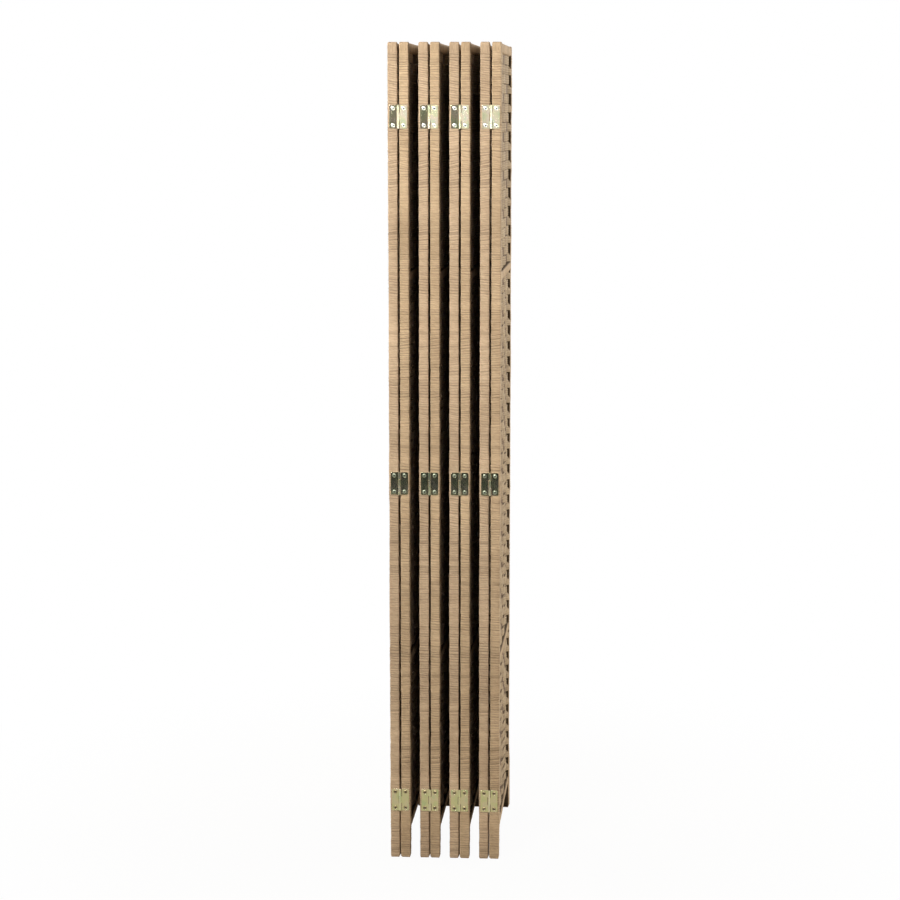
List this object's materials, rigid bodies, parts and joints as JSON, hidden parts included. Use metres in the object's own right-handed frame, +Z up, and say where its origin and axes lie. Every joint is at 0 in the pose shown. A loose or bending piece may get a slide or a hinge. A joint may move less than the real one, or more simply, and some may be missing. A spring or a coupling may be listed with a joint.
{
  "type": "folding screen",
  "caption": "Free-standing folding screen: rope-wound wooden frames with woven rope fields, joined edge to edge by small plated butt hinges into a zigzag.",
  "frame": {"origin": "on the floor, at the middle of the folded screen", "axes": "+X across the stack of panels, +Y along a folded panel away from the pictured edge, +Z up"},
  "size_m": [0.2612, 0.4104, 1.8],
  "materials": {
    "frame_wood": "plain sawn wood",
    "wound_rope": "twisted paper rope, matt",
    "woven_rope": "twisted paper rope, matt",
    "stake_wood": "plain sawn wood",
    "plated_steel": "yellow zinc plated"
  },
  "bodies": {
    "panel_1": {"panel_1_stiles": "frame_wood", "panel_1_rails": "frame_wood", "panel_1_wrapping": "wound_rope", "panel_1_stakes": "stake_wood", "panel_1_weave": "woven_rope", "hinge_1_pin_leaves": "plated_steel"},
    "panel_2": {"panel_2_stiles": "frame_wood", "panel_2_rails": "frame_wood", "panel_2_wrapping": "wound_rope", "panel_2_stakes": "stake_wood", "panel_2_weave": "woven_rope", "hinge_2_pin_leaves": "plated_steel", "hinge_1_bore_leaves": "plated_steel"},
    "panel_3": {"panel_3_stiles": "frame_wood", "panel_3_rails": "frame_wood", "panel_3_wrapping": "wound_rope", "panel_3_stakes": "stake_wood", "panel_3_weave": "woven_rope", "hinge_3_pin_leaves": "plated_steel", "hinge_2_bore_leaves": "plated_steel"},
    "panel_4": {"panel_4_stiles": "frame_wood", "panel_4_rails": "frame_wood", "panel_4_wrapping": "wound_rope", "panel_4_stakes": "stake_wood", "panel_4_weave": "woven_rope", "hinge_4_pin_leaves": "plated_steel", "hinge_3_bore_leaves": "plated_steel"},
    "panel_5": {"panel_5_stiles": "frame_wood", "panel_5_rails": "frame_wood", "panel_5_wrapping": "wound_rope", "panel_5_stakes": "stake_wood", "panel_5_weave": "woven_rope", "hinge_5_pin_leaves": "plated_steel", "hinge_4_bore_leaves": "plated_steel"},
    "panel_6": {"panel_6_stiles": "frame_wood", "panel_6_rails": "frame_wood", "panel_6_wrapping": "wound_rope", "panel_6_stakes": "stake_wood", "panel_6_weave": "woven_rope", "hinge_6_pin_leaves": "plated_steel", "hinge_5_bore_leaves": "plated_steel"},
    "panel_7": {"panel_7_stiles": "frame_wood", "panel_7_rails": "frame_wood", "panel_7_wrapping": "wound_rope", "panel_7_stakes": "stake_wood", "panel_7_weave": "woven_rope", "hinge_7_pin_leaves": "plated_steel", "hinge_6_bore_leaves": "plated_steel"},
    "panel_8": {"panel_8_stiles": "frame_wood", "panel_8_rails": "frame_wood", "panel_8_wrapping": "wound_rope", "panel_8_stakes": "stake_wood", "panel_8_weave": "woven_rope", "hinge_7_bore_leaves": "plated_steel"}
  },
  "joints": [
    {"name": "fold_1", "type": "hinge", "parent": "panel_1", "child": "panel_2", "pos_m": [-0.09899, -0.20267, 0.85], "axis": [0, 0, -1], "range_deg": [-2.65, 175]},
    {"name": "fold_2", "type": "hinge", "parent": "panel_2", "child": "panel_3", "pos_m": [-0.06599, 0.20267, 0.85], "axis": [0, 0, 1], "range_deg": [-2.65, 175]},
    {"name": "fold_3", "type": "hinge", "parent": "panel_3", "child": "panel_4", "pos_m": [-0.033, -0.20267, 0.85], "axis": [0, 0, -1], "range_deg": [-2.65, 175]},
    {"name": "fold_4", "type": "hinge", "parent": "panel_4", "child": "panel_5", "pos_m": [0, 0.20267, 0.85], "axis": [0, 0, 1], "range_deg": [-2.65, 175]},
    {"name": "fold_5", "type": "hinge", "parent": "panel_5", "child": "panel_6", "pos_m": [0.033, -0.20267, 0.85], "axis": [0, 0, -1], "range_deg": [-2.65, 175]},
    {"name": "fold_6", "type": "hinge", "parent": "panel_6", "child": "panel_7", "pos_m": [0.06599, 0.20267, 0.85], "axis": [0, 0, 1], "range_deg": [-2.65, 175]},
    {"name": "fold_7", "type": "hinge", "parent": "panel_7", "child": "panel_8", "pos_m": [0.09899, -0.20267, 0.85], "axis": [0, 0, -1], "range_deg": [-2.65, 175]}
  ]
}
